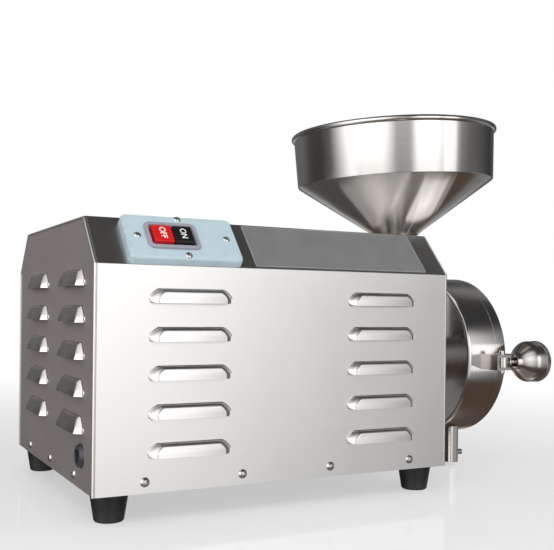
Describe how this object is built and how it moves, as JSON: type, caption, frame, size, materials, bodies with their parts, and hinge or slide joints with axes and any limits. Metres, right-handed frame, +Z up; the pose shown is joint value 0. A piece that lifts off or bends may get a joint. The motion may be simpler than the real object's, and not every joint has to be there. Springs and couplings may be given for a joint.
{
  "type": "nut grinding machine",
  "caption": "Bench nut grinding machine: louvred steel casing with motor, push-button switch, feed tube with round hopper, and a drum mill with hinged door, clamp knob and outlet.",
  "frame": {"origin": "on the floor under the middle of the machine", "axes": "+X towards the mill end, +Y towards the back, +Z up"},
  "size_m": [0.5862, 0.348, 0.437],
  "materials": {
    "casing_sheet": "satin stainless sheet",
    "base_sheet": "plain sheet",
    "fasteners": "bright",
    "rubber": "matte",
    "switch_plate": "pale blue enamel",
    "switch_bezel": "satin",
    "switch_body": "matte",
    "red_button": "gloss",
    "black_button": "gloss",
    "plain_plate": "satin",
    "motor_paint": "semi gloss",
    "core_steel": "laminated",
    "copper": "enamelled wire",
    "capacitor_can": "satin",
    "turned_steel": "turned",
    "mill_steel": "polished stainless",
    "tooth_steel": "ground",
    "hopper_steel": "polished stainless"
  },
  "bodies": {
    "machine": {"base_tray": "base_sheet", "casing_wrap": "casing_sheet", "end_panel_motor": "casing_sheet", "end_panel_mill": "casing_sheet", "casing_screws": "fasteners", "foot_front_left": "rubber", "foot_front_right": "rubber", "foot_back_left": "rubber", "foot_back_right": "rubber", "foot_screws": "fasteners", "cable_grommet": "rubber", "switch_plate": "switch_plate", "switch_bezel": "switch_bezel", "switch_body": "switch_body", "switch_plate_screws": "fasteners", "rating_plate": "plain_plate", "motor_shell": "motor_paint", "motor_shield_rear": "motor_paint", "motor_shield_front": "motor_paint", "motor_fan_cover": "motor_paint", "motor_rails": "base_sheet", "motor_bolts": "fasteners", "stator_core": "core_steel", "stator_windings": "copper", "bearing_rear": "turned_steel", "bearing_front": "turned_steel", "capacitor": "capacitor_can", "capacitor_clip": "base_sheet", "feed_housing": "mill_steel", "shaft_seal": "rubber", "feed_bolts": "fasteners", "chamber_body": "mill_steel", "chamber_bolts": "fasteners", "ring_sieve": "mill_steel", "outlet_chute": "mill_steel", "bag_studs": "fasteners", "latch_bracket": "mill_steel", "clamp_trunnion": "turned_steel", "hinge_bracket": "mill_steel", "hinge_pin": "turned_steel"},
    "rotor": {"motor_shaft": "turned_steel", "rotor_core": "core_steel", "cooling_fan": "switch_body", "feed_auger": "tooth_steel", "toothed_disc": "tooth_steel", "disc_teeth": "tooth_steel", "disc_nut": "fasteners"},
    "door": {"door_dish": "mill_steel", "door_seal": "rubber", "fixed_ring": "tooth_steel", "fixed_teeth": "tooth_steel", "door_hinge_arm": "mill_steel", "door_fork": "mill_steel"},
    "clamp": {"clamp_screw": "turned_steel", "clamp_knob": "turned_steel"},
    "off_button": {"button_off": "red_button"},
    "on_button": {"button_on": "black_button"},
    "hopper": {"hopper_bowl": "hopper_steel", "hopper_cone": "hopper_steel", "hopper_spout": "hopper_steel"}
  },
  "joints": [
    {"name": "rotor_spin", "type": "hinge", "parent": "machine", "child": "rotor", "pos_m": [0, 0, 0.141], "axis": [1, 0, 0], "continuous": true},
    {"name": "door_swing", "type": "hinge", "parent": "machine", "child": "door", "pos_m": [0.2517, 0.118, 0.141], "axis": [0, 0, 1], "range_deg": [0, 110]},
    {"name": "clamp_turn", "type": "hinge", "parent": "door", "child": "clamp", "pos_m": [0.2697, -0.12, 0.138], "axis": [1, 0, 0], "continuous": true},
    {"name": "off_press", "type": "slide", "parent": "machine", "child": "off_button", "axis": [0, 0.7465, -0.6654], "range_m": [0, 0.0035], "stiffness_N_per_m": 600},
    {"name": "on_press", "type": "slide", "parent": "machine", "child": "on_button", "axis": [0, 0.7465, -0.6654], "range_m": [0, 0.0035], "stiffness_N_per_m": 600},
    {"name": "hopper_lift", "type": "slide", "parent": "machine", "child": "hopper", "axis": [-0.0558, 0, 0.9984], "range_m": [0, 0.06]}
  ]
}
